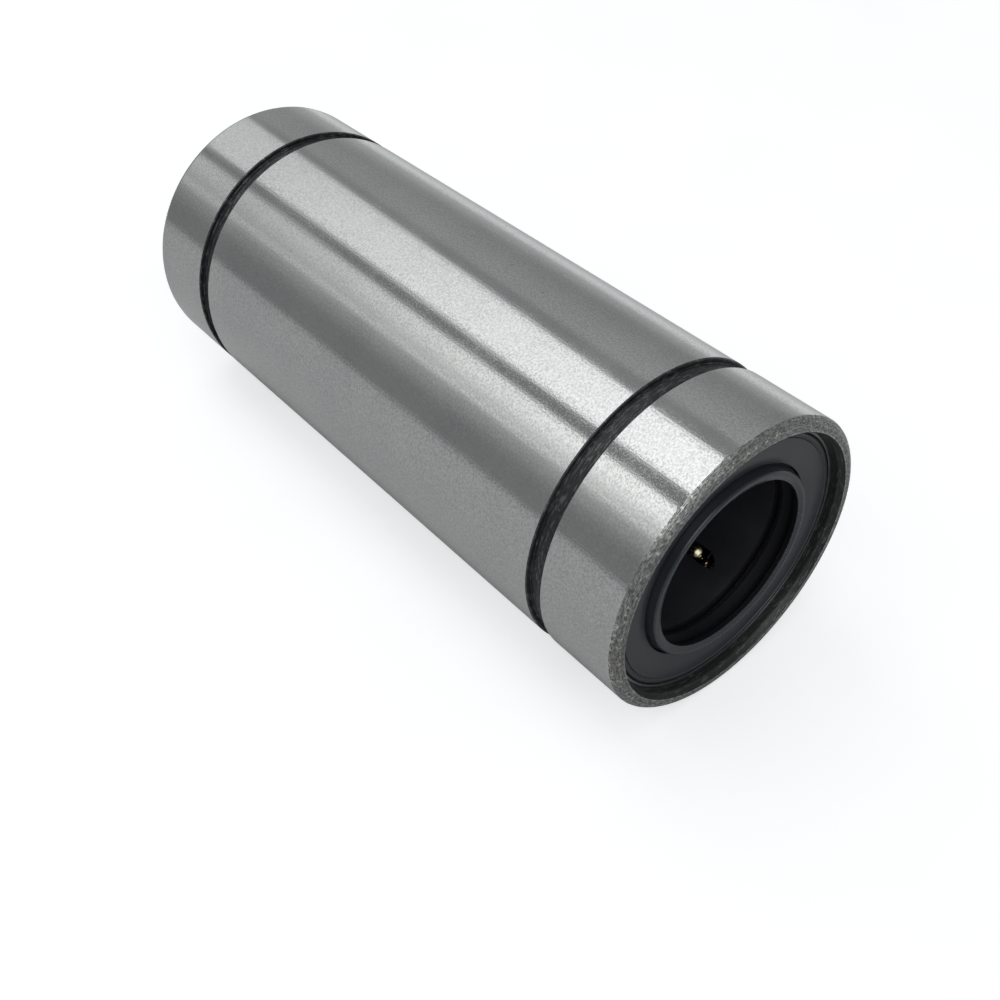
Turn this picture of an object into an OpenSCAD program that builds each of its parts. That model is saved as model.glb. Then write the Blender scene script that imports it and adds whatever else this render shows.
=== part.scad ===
// Closed linear ball bushing, long type, with a seal at each end.
// The shaft axis is X. The origin is on the axis, halfway along the sleeve.

/* [Bushing] */
// Diameter of the shaft that the bushing runs on
shaft_d = 16; // [13:0.5:17]
// Outside diameter of the sleeve
sleeve_od = 28; // [27:0.5:34]
// Length of the sleeve
sleeve_len = 70; // [60:1:110]
// Chamfer on the outside edge at each end
end_chamfer = 0.5; // [0.2:0.1:1]

/* [Snap-ring grooves] */
// Distance over the outer walls of the two grooves
groove_span = 53; // [40:0.5:64]
// Width of a groove
groove_w = 1.6; // [1.1:0.05:2.2]
// Depth of a groove
groove_depth = 0.5; // [0.3:0.05:1]
// Break on a groove's outside edges
groove_break = 0.1; // [0.05:0.05:0.25]

/* [Seal recess] */
// Wall of the sleeve around the seal
recess_wall = 1.5; // [1:0.1:2]
// Depth of the recess from the end face to its shoulder
recess_depth = 3.6; // [3.5:0.1:6]
// Widening of the recess at its mouth
mouth_flare = 0.3; // [0.1:0.05:0.5]
// Length of the widened mouth
mouth_len = 0.6; // [0.3:0.1:1]

/* [Ball circuits] */
// Ball diameter
ball_d = 2.381; // [2:0.001:2.9]
// Number of ball circuits around the shaft
circuits = 5; // [4:1:5]
// Distance between ball centres, in ball diameters
pitch_ratio = 1.13; // [1.125:0.005:1.2]
// How much further out the return row runs than the loaded row
return_rise = 0.75; // [0.6:0.05:1]
// Outward tilt of each turn in degrees
turn_tilt = 12; // [5:1:15]
// Turn of the whole set of circuits about the shaft in degrees
circuit_phase = 0; // [-36:1:36]
// Radial room between a loaded ball and the race in the sleeve
race_gap = 0.02; // [0.01:0.01:0.05]
// Room around a ball in the cage's straight channels
channel_gap = 0.06; // [0.04:0.01:0.08]
// Room around a ball in the cage's turns
turn_gap = 0.1; // [0.1:0.01:0.16]
// Room around a returning ball in the sleeve
groove_gap = 0.08; // [0.05:0.01:0.1]

/* [Cages] */
// Radial room between the shaft and the cage
cage_bore_gap = 0.2; // [0.1:0.05:0.4]
// Radial room between the cage and the sleeve's lands
cage_gap = 0.08; // [0.05:0.01:0.1]
// Room at each end of a cage
cage_float = 0.1; // [0.05:0.05:0.3]
// Least wall of a cage past its turns
cage_end_wall = 0.5; // [0.4:0.05:3]
// How far each land stops short of the end of the loaded row
land_setback = 0.35; // [0.3:0.05:0.6]
// Ramp at each end of a land
land_ramp = 0.3; // [0.1:0.05:0.5]
// Room between the balls in a turn and the sleeve
relief_gap = 0.11; // [0.08:0.01:0.2]

/* [End rings] */
// Thickness of an end ring
end_ring_t = 0.6; // [0.4:0.05:1]
// Radial room between the shaft and an end ring
end_ring_bore_gap = 1.2; // [1:0.1:1.5]

/* [Seals] */
// Radial room between a seal or end ring and its recess
seat_gap = 0.02; // [0:0.01:0.05]
// Thickness of the seal core's outer wall
core_wall = 0.24; // [0.15:0.01:0.4]
// Thickness of the seal core's flat back
core_back = 0.45; // [0.3:0.05:0.6]
// Radial room between the shaft and the seal core
core_bore_gap = 1.6; // [1.4:0.1:2]
// Depth of the seal's edge below the sleeve's end face
seal_sink = 1.28; // [1:0.02:2]
// Depth of the small groove between the rubber and the core's wall
seal_edge = 0.2; // [0.1:0.05:0.3]
// Height of the contact lip over the seal's flat face
lip_rise = 0.5; // [0.3:0.05:0.8]
// Radial width of the contact lip's outer cone
lip_cone = 0.24; // [0.2:0.02:0.5]
// Radial width of the contact lip's flat top
lip_flat = 0.3; // [0.2:0.02:0.4]
// Radial width of the contact lip's inner slope
lip_top = 0.46; // [0.3:0.02:0.5]
// Depth of the narrow moat around the contact lip
lip_moat = 0.5; // [0.3:0.05:0.6]
// Depth of the shallow dish between the seal's flat face and the moat
seal_dish = 0.24; // [0.1:0.02:0.3]
// Length of the contact lip along the shaft
lip_len = 0.45; // [0.3:0.05:0.7]
// Radial room between the shaft and the back lip
back_lip_gap = 0.1; // [0.05:0.05:0.2]
// Length of the back lip along the shaft
back_lip_len = 0.35; // [0.25:0.05:0.5]
// Depth of the grease groove between the lips, from the shaft
grease_depth = 0.6; // [0.4:0.05:0.9]

/* [Hidden] */
$fn = 72;
ball_fn = 32;
turn_balls = 2;
step_deg = 360 / circuits;
ball_r = ball_d / 2;
shaft_r = shaft_d / 2;
sleeve_r = sleeve_od / 2;
half_len = sleeve_len / 2;

// Ball circuit: two straight rows joined by half circles of turn_balls balls each
pitch = pitch_ratio * ball_d;
turn_r = turn_balls * pitch / PI;
load_r = shaft_r + ball_r;
return_r = load_r + return_rise;
row_shift = (return_r * return_r - load_r * load_r) / (4 * turn_r);
load_y = row_shift - turn_r;
return_y = row_shift + turn_r;
row_z = sqrt(load_r * load_r - load_y * load_y);
channel_r = ball_r + channel_gap;
turn_channel_r = ball_r + turn_gap;

// Sleeve
recess_r = sleeve_r - recess_wall;
shoulder_x = half_len - recess_depth;
race_r = load_r + ball_r + race_gap;
return_groove_r = ball_r + groove_gap;
turn_out_y = row_shift + turn_r * cos(30);
turn_out_z = row_z + turn_r * sin(30) * sin(turn_tilt);
relief_r = sqrt(turn_out_y * turn_out_y + turn_out_z * turn_out_z) + ball_r + relief_gap;
groove_r = sleeve_r - groove_depth;

// Cages, one in each half of the sleeve
cage_len = shoulder_x - 2 * cage_float;
cage_x = shoulder_x / 2;
cage_bore_r = shaft_r + cage_bore_gap;
cage_r = race_r - cage_gap;
turn_reach = turn_r * cos(turn_tilt) + turn_channel_r + cage_end_wall;
row_balls = floor((cage_len - 2 * turn_reach) / pitch);
row_half = row_balls * pitch / 2;
land_half = row_half - land_setback;

// Seals
seat_r = recess_r - seat_gap;
seal_back_x = shoulder_x + end_ring_t;
seal_face_x = half_len - seal_sink;
rubber_r = seat_r - core_wall;
core_bore_r = shaft_r + core_bore_gap;

CAGES = ["front", "rear"];
GROUPS = ["loaded", "return", "turn_out", "turn_in"];
function row_name(cage, circuit, group) = str(cage, "_", circuit, "_", group);
BALL_NODES = [
    for (cage = CAGES) for (i = [1:circuits]) for (group = GROUPS) row_name(cage, i, group)
];
FIXED_NODES = [
    "outer_sleeve", "cage_front", "cage_rear", "end_ring_front", "end_ring_rear",
    "seal_core_front", "seal_core_rear", "seal_front", "seal_rear"
];

// A turned shape: points are [radius, position along the shaft]
module turned(points) {
    rotate([0, 90, 0]) rotate_extrude() polygon(points);
}

// The same piece at the far end, faced the other way
module at_end(end) {
    if (end == "front") children();
    else rotate([0, 0, 180]) children();
}

// A ball circuit's own place in one cage; its rows then run at the top of the shaft
module at_circuit(cage, i) {
    translate([cage == "front" ? cage_x : -cage_x, 0, 0])
        rotate([circuit_phase + (i - 1) * step_deg, 0, 0]) children();
}

// One half of the sleeve's section, from the middle to one end, for x over 0
function outer_half() = [
    [sleeve_r, groove_span / 2 - groove_w - groove_break],
    [sleeve_r - groove_break, groove_span / 2 - groove_w],
    [groove_r, groove_span / 2 - groove_w],
    [groove_r, groove_span / 2],
    [sleeve_r - groove_break, groove_span / 2],
    [sleeve_r, groove_span / 2 + groove_break],
    [sleeve_r, half_len - end_chamfer],
    [sleeve_r - end_chamfer, half_len]
];
function inner_half() = [
    [recess_r + mouth_flare, half_len],
    [recess_r, half_len - mouth_len],
    [recess_r, shoulder_x],
    [relief_r, shoulder_x],
    [relief_r, cage_x + land_half],
    [race_r + land_ramp, cage_x + land_half],
    [race_r, cage_x + land_half - land_ramp],
    [race_r, cage_x - land_half + land_ramp],
    [race_r + land_ramp, cage_x - land_half],
    [relief_r, cage_x - land_half]
];
function mirrored(points) = [
    for (i = [len(points) - 1:-1:0]) [points[i][0], -points[i][1]]
];

module return_grooves() {
    groove_len = 2 * (cage_x + land_half + land_ramp);
    for (i = [1:circuits])
        rotate([circuit_phase + (i - 1) * step_deg, 0, 0])
            translate([-groove_len / 2, return_y, row_z])
                rotate([0, 90, 0]) cylinder(r = return_groove_r, h = groove_len);
}

module outer_sleeve() {
    half = concat(outer_half(), inner_half());
    color([0.78, 0.79, 0.8]) difference() {
        turned(concat(half, mirrored(half)));
        return_grooves();
    }
}

// A channel for one straight row, open outward
module row_channel(y) {
    reach = row_half + channel_r * tan(turn_tilt);
    translate([-reach, y, row_z]) {
        rotate([0, 90, 0]) cylinder(r = channel_r, h = 2 * reach);
        translate([0, -channel_r, 0]) cube([2 * reach, 2 * channel_r, ball_d]);
    }
}

// A half-circle channel that joins the two rows at the cage's +X end, tilted outward
module turn_channel() {
    translate([row_half, row_shift, row_z]) rotate([0, -turn_tilt, 0]) rotate([0, 0, -90])
        rotate_extrude(angle = 180) translate([turn_r, 0]) union() {
            circle(r = turn_channel_r);
            translate([-turn_channel_r, 0]) square([2 * turn_channel_r, ball_d]);
        }
}

module circuit_channel() {
    row_channel(load_y);
    row_channel(return_y);
    turn_channel();
    mirror([1, 0, 0]) turn_channel();
}

module cage(place) {
    color([0.07, 0.07, 0.08]) difference() {
        translate([place == "front" ? cage_x : -cage_x, 0, 0])
            turned([
                [cage_bore_r, -cage_len / 2], [cage_r, -cage_len / 2],
                [cage_r, cage_len / 2], [cage_bore_r, cage_len / 2]
            ]);
        for (i = [1:circuits]) at_circuit(place, i) circuit_channel();
    }
}

module end_ring(end) {
    bore_r = shaft_r + end_ring_bore_gap;
    color([0.6, 0.61, 0.63]) at_end(end) turned([
        [bore_r, shoulder_x], [seat_r, shoulder_x],
        [seat_r, seal_back_x], [bore_r, seal_back_x]
    ]);
}

module seal_core(end) {
    color([0.55, 0.56, 0.58]) at_end(end) turned([
        [core_bore_r, seal_back_x], [seat_r, seal_back_x],
        [seat_r, seal_face_x], [rubber_r, seal_face_x],
        [rubber_r, seal_back_x + core_back], [core_bore_r, seal_back_x + core_back]
    ]);
}

module seal(end) {
    lip_x = seal_face_x + lip_rise;
    groove_back_x = seal_back_x + back_lip_len + grease_depth - back_lip_gap;
    cone_r = shaft_r + lip_top;
    moat_r = cone_r + lip_flat + lip_cone;
    dish_r = shaft_r + 0.6 * (rubber_r - shaft_r);
    color([0.1, 0.11, 0.13]) at_end(end) turned([
        [core_bore_r, seal_back_x], [core_bore_r, seal_back_x + core_back],
        [rubber_r, seal_back_x + core_back], [rubber_r, seal_face_x - seal_edge],
        [rubber_r - seal_edge, seal_face_x], [dish_r, seal_face_x],
        [moat_r + 0.2, seal_face_x - seal_dish],
        [moat_r + 0.14, seal_face_x - lip_moat], [moat_r, seal_face_x - lip_moat],
        [cone_r + lip_flat, lip_x], [cone_r, lip_x], [shaft_r, lip_x - lip_rise / 3],
        [shaft_r, lip_x - lip_rise / 3 - lip_len],
        [shaft_r + grease_depth, seal_face_x - lip_len],
        [shaft_r + grease_depth, groove_back_x],
        [shaft_r + back_lip_gap, seal_back_x + back_lip_len],
        [shaft_r + back_lip_gap, seal_back_x]
    ]);
}

module ball(place) {
    translate(place) sphere(r = ball_r, $fn = ball_fn);
}

module ball_row(y) {
    for (k = [1:row_balls]) ball([(k - 0.5) * pitch - row_half, y, row_z]);
}

// side is 1 for the turn at the +X end and -1 for the other
module ball_turn(side) {
    for (k = [1:turn_balls]) {
        a = (k - 0.5) * 180 / turn_balls;
        ball([
            side * (row_half + turn_r * sin(a) * cos(turn_tilt)),
            row_shift - turn_r * cos(a),
            row_z + turn_r * sin(a) * sin(turn_tilt)
        ]);
    }
}

module ball_group(cage, i, group) {
    color([0.72, 0.7, 0.66]) at_circuit(cage, i) {
        if (group == "loaded") ball_row(load_y);
        if (group == "return") ball_row(return_y);
        if (group == "turn_out") ball_turn(1);
        if (group == "turn_in") ball_turn(-1);
    }
}

outer_sleeve();
cage("front");  // cage_front
cage("rear");  // cage_rear
end_ring("front");  // end_ring_front
end_ring("rear");  // end_ring_rear
seal_core("front");  // seal_core_front
seal_core("rear");  // seal_core_rear
seal("front");  // seal_front
seal("rear");  // seal_rear
for (cage = CAGES) for (i = [1:circuits]) for (group = GROUPS)
    ball_group(cage, i, group);
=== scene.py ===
# %% [markdown]
# # A linear ball bushing in ground steel, black rubber and resin
#
# A linear ball bushing is a hard steel sleeve that runs along a round shaft on loops of small
# balls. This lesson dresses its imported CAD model: turned and ground steel outside, a pressed-in
# rubber seal at each end, black resin cages and bright balls inside. The CAD model gives every
# place and size, so the first step loads it as a fixed frame and measures its box.

# %% Load the frame
import math

import bpy
import numpy as np
from mathutils import Matrix
from mathutils import Vector


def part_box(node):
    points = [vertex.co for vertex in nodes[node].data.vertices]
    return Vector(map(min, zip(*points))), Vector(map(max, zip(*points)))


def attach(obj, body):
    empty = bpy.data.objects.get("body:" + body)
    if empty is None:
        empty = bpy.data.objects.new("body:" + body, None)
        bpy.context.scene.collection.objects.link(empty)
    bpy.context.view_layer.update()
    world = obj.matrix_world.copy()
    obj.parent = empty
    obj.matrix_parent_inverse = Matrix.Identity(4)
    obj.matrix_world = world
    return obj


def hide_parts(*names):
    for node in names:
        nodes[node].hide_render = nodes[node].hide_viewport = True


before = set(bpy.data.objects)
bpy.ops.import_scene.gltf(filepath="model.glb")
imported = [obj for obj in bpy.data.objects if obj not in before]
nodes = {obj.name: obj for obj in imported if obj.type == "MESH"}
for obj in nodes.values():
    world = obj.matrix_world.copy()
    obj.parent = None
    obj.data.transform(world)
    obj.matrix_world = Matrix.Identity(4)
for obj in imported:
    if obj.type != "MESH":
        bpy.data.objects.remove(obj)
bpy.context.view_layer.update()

MM = 0.001

# %% [markdown]
# ## Measures
#
# The bushing lies along X with its middle at the origin, so a few numbers place everything: half
# its length, its outside radius, and where a seal starts and ends. They are read from the CAD
# boxes and are not typed in, so the pieces follow the CAD model when it changes. A box doesn't
# show the steps inside a piece, so those are written beside the piece that has them.
# Millimetres are easier to read than metres, so the profiles below are in them.

# %% Read the measures
sleeve_low, sleeve_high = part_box("outer_sleeve")
seal_low, seal_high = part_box("seal_front")
core_low, core_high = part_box("seal_core_front")
ring_low, ring_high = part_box("end_ring_front")
ball_low, ball_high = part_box("front_1_loaded")
HALF = sleeve_high[0] / MM
OUTSIDE = -sleeve_low[2] / MM
SEAL_BACK = seal_low[0] / MM
SEAL_TIP = seal_high[0] / MM
SEAL_FACE = core_high[0] / MM
RUBBER = -seal_low[2] / MM
CORE = -core_low[2] / MM
RING_BACK = ring_low[0] / MM
RING = -ring_low[2] / MM
print("half length", round(HALF, 3), "outside radius", round(OUTSIDE, 3))
print("seal from", round(SEAL_BACK, 3), "to", round(SEAL_TIP, 3), "rubber radius", round(RUBBER, 3))
print("core radius", round(CORE, 3), "end ring radius", round(RING, 3))

# %% [markdown]
# ## Camera
#
# A camera is set from four things: where it stands, which way is right, which way is up, and its
# lens. The matrix of a camera holds its right, up and backward directions as columns. The view
# looks down at about 43 degrees, past the near end towards the far one, with a lens of about
# 43 mm, so the far end looks clearly smaller.

# %% Camera
LENS = 43.38
STAND = Vector((74.1734, -57.8294, 69.9321))
right = Vector((0.64088, 0.76764, 0.0)).normalized()
up = Vector((-0.52131, 0.43522, 0.73404)).normalized()
back = right.cross(up)
camera_data = bpy.data.cameras.new("bench_camera")
camera_data.lens = LENS
camera_data.sensor_width = 36.0
camera_data.clip_start = 0.005
camera_data.clip_end = 20.0
camera = bpy.data.objects.new("bench_camera", camera_data)
bpy.context.scene.collection.objects.link(camera)
camera.matrix_world = Matrix((right, up, back)).transposed().to_4x4()
camera.location = STAND * MM
bpy.context.scene.camera = camera
bpy.context.scene.view_settings.view_transform = "Standard"
print("camera stands", round(camera.location.length / MM, 1), "mm from the middle")

# %% [markdown]
# ## Small node helpers
#
# Every finish below is a tree of shader nodes, and a few short helpers keep those trees readable.
# `feed` puts either a link or a plain number on a socket. `sums`, `ramp`, `blend_colour`, `stretch`
# and `cloud` each make one node and hand back its output. `new_group` and `use_group` make and
# place the named groups that several finishes share.

# %% Node helpers
def feed(tree, value, socket):
    """Link an output to a socket, or write a plain number there."""
    if isinstance(value, bpy.types.NodeSocket):
        tree.links.new(value, socket)
    else:
        socket.default_value = value


def sums(tree, operation, first, second=0.0, third=0.0):
    """One Math node; each input is a socket or a plain number."""
    made = tree.nodes.new("ShaderNodeMath")
    made.operation = operation
    feed(tree, first, made.inputs[0])
    feed(tree, second, made.inputs[1])
    feed(tree, third, made.inputs[2])
    return made.outputs[0]


def ramp(tree, value, start, end, low=0.0, high=1.0):
    """A smooth step of value: low before start, high after end."""
    made = tree.nodes.new("ShaderNodeMapRange")
    made.interpolation_type = "SMOOTHSTEP"
    feed(tree, value, made.inputs["Value"])
    feed(tree, start, made.inputs["From Min"])
    feed(tree, end, made.inputs["From Max"])
    feed(tree, low, made.inputs["To Min"])
    feed(tree, high, made.inputs["To Max"])
    return made.outputs["Result"]


def blend_colour(tree, share, first, second):
    """A colour between first (share 0) and second (share 1)."""
    made = tree.nodes.new("ShaderNodeMix")
    made.data_type = "RGBA"
    feed(tree, share, made.inputs[0])
    feed(tree, first, made.inputs[6])
    feed(tree, second, made.inputs[7])
    return made.outputs[2]


def stretch(tree, position, by):
    """Position in metres times three factors per metre."""
    made = tree.nodes.new("ShaderNodeVectorMath")
    made.operation = "MULTIPLY"
    feed(tree, position, made.inputs[0])
    feed(tree, by, made.inputs[1])
    return made.outputs[0]


def cloud(tree, position, detail=2.0, rough=0.5):
    """Soft 3-D noise, 0 to 1, one lump per unit of position."""
    made = tree.nodes.new("ShaderNodeTexNoise")
    made.inputs["Scale"].default_value = 1.0
    made.inputs["Detail"].default_value = detail
    made.inputs["Roughness"].default_value = rough
    feed(tree, position, made.inputs["Vector"])
    return made.outputs[0]


def new_group(name, takes, gives):
    """An empty shader group with named sockets, and its input and output nodes."""
    group = bpy.data.node_groups.new(name, "ShaderNodeTree")
    for label, kind, value in takes:
        socket = group.interface.new_socket(label, in_out="INPUT", socket_type=kind)
        socket.default_value = value
    for label in gives:
        group.interface.new_socket(label, in_out="OUTPUT", socket_type="NodeSocketFloat")
    return group, group.nodes.new("NodeGroupInput"), group.nodes.new("NodeGroupOutput")


def use_group(tree, group, **values):
    """Place a group in a material with its own values; spaces in names are written as _."""
    made = tree.nodes.new("ShaderNodeGroup")
    made.node_tree = group
    for label, value in values.items():
        feed(tree, value, made.inputs[label.replace("_", " ")])
    return made.outputs


# %% [markdown]
# ## Floor, backdrop and light
#
# Polished metal shows its surroundings more than its own colour, so the light does most of the
# work. Two long soft boxes hang over the sleeve and run along it: the first draws the broad
# bright band, the second the softer band beside it, and the gap between them is the dark stripe.
# A faint glow softens the second band's lower edge, a dim box stands at the far side, and a fill
# in front lights the end face. A lamp with an even face would give a flat band, so each lamp's
# brightness is drawn over its face. The floor is plain and pale, and its reflection is the even
# grey of the sleeve's lower side. For the camera alone the floor and the world are lifted to
# white, which lights nothing, and the floor still takes the shadow. Metal also sees the far floor
# a little lifted, as a white backdrop is.

# %% Floor
FLOOR_REACH = 3.0
# Between these two distances from the middle, in metres, the camera's lift grows
NEAR, FAR = 0.12, 0.6
NEAR_LIFT, FAR_LIFT = 1.06, 1.9
# What metal sees of the far floor is lifted by this much
MIRRORED_LIFT = 0.66


def floor_finish():
    """A matt pale floor that the camera sees lifted towards white."""
    made = bpy.data.materials.new("pale_bench")
    made.use_nodes = True
    tree = made.node_tree
    matt = tree.nodes["Principled BSDF"]
    matt.inputs["Roughness"].default_value = 0.9
    matt.inputs["Specular IOR Level"].default_value = 0.1
    place = tree.nodes.new("ShaderNodeTexCoord").outputs["Object"]
    mottle = cloud(tree, stretch(tree, place, (40.0, 40.0, 40.0)))
    tone = blend_colour(tree, mottle, (0.55, 0.555, 0.56, 1.0), (0.58, 0.585, 0.59, 1.0))
    feed(tree, tone, matt.inputs["Base Color"])
    feed(tree, tone, matt.inputs["Emission Color"])
    rays = tree.nodes.new("ShaderNodeLightPath")
    reach = tree.nodes.new("ShaderNodeVectorMath")
    reach.operation = "LENGTH"
    feed(tree, place, reach.inputs[0])
    lifted = ramp(tree, reach.outputs["Value"], NEAR, FAR, NEAR_LIFT, FAR_LIFT)
    seen = sums(tree, "MULTIPLY", rays.outputs["Is Camera Ray"], lifted)
    side = tree.nodes.new("ShaderNodeSeparateXYZ")
    feed(tree, place, side.inputs[0])
    mirrored = sums(tree, "MULTIPLY", rays.outputs["Is Glossy Ray"],
                    ramp(tree, side.outputs["Y"], 0.03, 0.13, 0.0, MIRRORED_LIFT))
    feed(tree, sums(tree, "ADD", seen, mirrored), matt.inputs["Emission Strength"])
    return made


floor_mesh = bpy.data.meshes.new("bench")
floor_corners = [(-1, -1), (1, -1), (1, 1), (-1, 1)]
floor_mesh.from_pydata([(x * FLOOR_REACH, y * FLOOR_REACH, -OUTSIDE * MM) for x, y in floor_corners],
                       [], [(0, 1, 2, 3)])
floor_mesh.materials.append(floor_finish())
bench = bpy.data.objects.new("bench", floor_mesh)
bpy.context.scene.collection.objects.link(bench)
print("floor at z =", round(-OUTSIDE, 3), "mm")

# %% World
DARK_SIDE = (0.228, 0.236, 0.238, 1.0)
PALE_SIDE = (0.278, 0.289, 0.289, 1.0)
HORIZON = (0.44, 0.452, 0.449, 1.0)
world = bpy.data.worlds.new("studio_air")
world.use_nodes = True
bpy.context.scene.world = world
air = world.node_tree
air_light = air.nodes["Background"]
way = air.nodes.new("ShaderNodeSeparateXYZ")
feed(air, air.nodes.new("ShaderNodeTexCoord").outputs["Generated"], way.inputs[0])
room = blend_colour(air, ramp(air, way.outputs["Y"], -0.05, 0.30), DARK_SIDE, PALE_SIDE)
low_down = sums(air, "MULTIPLY", ramp(air, way.outputs["Z"], 0.02, 0.27, 1.0, 0.0),
                ramp(air, way.outputs["Y"], 0.25, 0.60))
room = blend_colour(air, low_down, room, HORIZON)
seen = air.nodes.new("ShaderNodeLightPath").outputs["Is Camera Ray"]
feed(air, blend_colour(air, seen, room, (1.0, 1.0, 1.0, 1.0)), air_light.inputs["Color"])
air_light.inputs["Strength"].default_value = 1.0
print("the world's side tones:", DARK_SIDE[:3], "and", PALE_SIDE[:3])

# %% Soft boxes
def soft_box(name, centre, size, tint, along, across, lean=1.0, turn=0.0):
    """A rectangular lamp that faces the middle, with its brightness drawn over its face.

    A lamp's power is its brightness times pi times its area, so with a power of pi times the
    area the drawn value is the brightness itself. along is (place, value, place, value) over
    its length, places from 0 to 1. across is the share of its width that fades at the low side
    and at the high side, and lean is how bright the low side is beside the high side.
    """
    lamp = bpy.data.lights.new(name, "AREA")
    lamp.shape = "RECTANGLE"
    lamp.size, lamp.size_y = size
    lamp.energy = math.pi * size[0] * size[1]
    lamp.color = tint
    lamp.use_nodes = True
    tree = lamp.node_tree
    glow = tree.nodes["Emission"]
    face = tree.nodes.new("ShaderNodeSeparateXYZ")
    feed(tree, tree.nodes.new("ShaderNodeNewGeometry").outputs["Parametric"], face.inputs[0])
    low_side = ramp(tree, face.outputs["Y"], 0.0, across[0])
    high_side = ramp(tree, face.outputs["Y"], 1.0 - across[1], 1.0, 1.0, 0.0)
    slope = ramp(tree, face.outputs["Y"], 0.0, 0.8, lean, 1.0)
    start, start_value, end, end_value = along
    length_way = ramp(tree, face.outputs["X"], start, end, start_value, end_value)
    drawn = sums(tree, "MULTIPLY", sums(tree, "MULTIPLY", low_side, high_side), length_way)
    feed(tree, sums(tree, "MULTIPLY", drawn, slope), glow.inputs["Strength"])
    holder = bpy.data.objects.new(name, lamp)
    bpy.context.scene.collection.objects.link(holder)
    away = Vector(centre).normalized()
    length = Vector((math.cos(turn), math.sin(turn), 0.0))
    length = (length - away * length.dot(away)).normalized()
    width = away.cross(length)
    holder.matrix_world = Matrix((length, width, away)).transposed().to_4x4()
    holder.location = centre
    holder.visible_camera = False


soft_box("first_box", (-0.25, -0.023, 0.50), (1.2, 0.315), (0.99, 1.0, 1.0),
         along=(0.15, 0.45, 0.62, 1.40), across=(0.10, 0.08), turn=math.radians(-10.8))
soft_box("second_box", (-0.246, -0.483, 0.523), (1.6, 0.325), (0.985, 1.0, 0.98),
         along=(0.17, 0.42, 0.47, 1.22), across=(0.10, 0.10), lean=0.40, turn=math.radians(-3.2))
soft_box("second_glow", (-0.255, -0.635, 0.312), (1.6, 0.28), (0.985, 1.0, 0.98),
         along=(0.0, 0.15, 0.6, 0.28), across=(0.95, 0.05), turn=math.radians(-3.2))
soft_box("side_box", (-0.20, 0.5262, 0.50), (2.0, 0.57), (0.98, 1.0, 0.985),
         along=(0.0, 0.06, 1.0, 0.24), across=(0.08, 0.90), turn=math.radians(-21.5))
soft_box("front_fill", (0.55, -0.30, 0.55), (0.9, 0.9), (1.0, 1.0, 1.0),
         along=(0.0, 1.45, 1.0, 1.45), across=(0.4, 0.4))

# %% [markdown]
# ## Shared surface effects
#
# The same few things happen to most of the surfaces here. A grinding wheel leaves a fine grain, a
# lathe tool leaves rings, rubbing leaves short broken strokes, edges wear bright, and handling
# leaves dots and scratches. Each is one group with named inputs, used in several materials with
# its own values. All patterns read Object coordinates, and one more group turns those into the
# distance along the axis and the radius. The strokes run round the part without a seam, because
# they read the direction from the axis and not an angle, which would jump at half a turn.

# %% Group: cylinder measures
measures, group_in, group_out = new_group(
    "cylinder measures",
    [("Position", "NodeSocketVector", (0.0, 0.0, 0.0))],
    ["Along", "Radius"],
)
in_mm = stretch(measures, group_in.outputs["Position"], (1000.0, 1000.0, 1000.0))
split = measures.nodes.new("ShaderNodeSeparateXYZ")
feed(measures, in_mm, split.inputs[0])
feed(measures, split.outputs["X"], group_out.inputs["Along"])
squares = sums(measures, "ADD", sums(measures, "POWER", split.outputs["Y"], 2.0),
               sums(measures, "POWER", split.outputs["Z"], 2.0))
feed(measures, sums(measures, "SQRT", squares), group_out.inputs["Radius"])

# %% Group: ground grain
grain, group_in, group_out = new_group(
    "ground grain",
    [
        ("Position", "NodeSocketVector", (0.0, 0.0, 0.0)),
        ("Grains per metre", "NodeSocketFloat", 6000.0),
        ("Closer along", "NodeSocketFloat", 1.6),
    ],
    ["Grain", "Patches"],
)
per_metre = group_in.outputs["Grains per metre"]
scale = grain.nodes.new("ShaderNodeCombineXYZ")
feed(grain, sums(grain, "MULTIPLY", per_metre, group_in.outputs["Closer along"]), scale.inputs[0])
feed(grain, per_metre, scale.inputs[1])
feed(grain, per_metre, scale.inputs[2])
fine = cloud(grain, stretch(grain, group_in.outputs["Position"], scale.outputs[0]), 2.0, 0.6)
feed(grain, ramp(grain, fine, 0.28, 0.72), group_out.inputs["Grain"])
broad = cloud(grain, stretch(grain, group_in.outputs["Position"], (160.0, 110.0, 110.0)), 3.0, 0.55)
feed(grain, ramp(grain, broad, 0.32, 0.68), group_out.inputs["Patches"])

# %% Group: turning lines
turning, group_in, group_out = new_group(
    "turning lines",
    [
        ("Position", "NodeSocketVector", (0.0, 0.0, 0.0)),
        ("Measure", "NodeSocketFloat", 0.0),
        ("Lines per mm", "NodeSocketFloat", 8.0),
        ("Waver", "NodeSocketFloat", 0.05),
    ],
    ["Lines"],
)
drift = cloud(turning, stretch(turning, group_in.outputs["Position"], (260.0, 260.0, 260.0)), 3.0)
drift = sums(turning, "MULTIPLY", sums(turning, "SUBTRACT", drift, 0.5), group_in.outputs["Waver"])
measure = sums(turning, "ADD", group_in.outputs["Measure"], drift)
rings = turning.nodes.new("ShaderNodeTexNoise")
rings.noise_dimensions = "1D"
rings.inputs["Scale"].default_value = 1.0
rings.inputs["Detail"].default_value = 3.0
rings.inputs["Roughness"].default_value = 0.65
feed(turning, sums(turning, "MULTIPLY", measure, group_in.outputs["Lines per mm"]),
     rings.inputs["W"])
patchy = cloud(turning, stretch(turning, group_in.outputs["Position"], (900.0, 900.0, 900.0)), 3.0)
deep = ramp(turning, rings.outputs[0], 0.33, 0.67)
deep = sums(turning, "MULTIPLY_ADD", sums(turning, "SUBTRACT", deep, 0.5),
            ramp(turning, patchy, 0.3, 0.65, 0.35, 1.15), 0.5)
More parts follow.
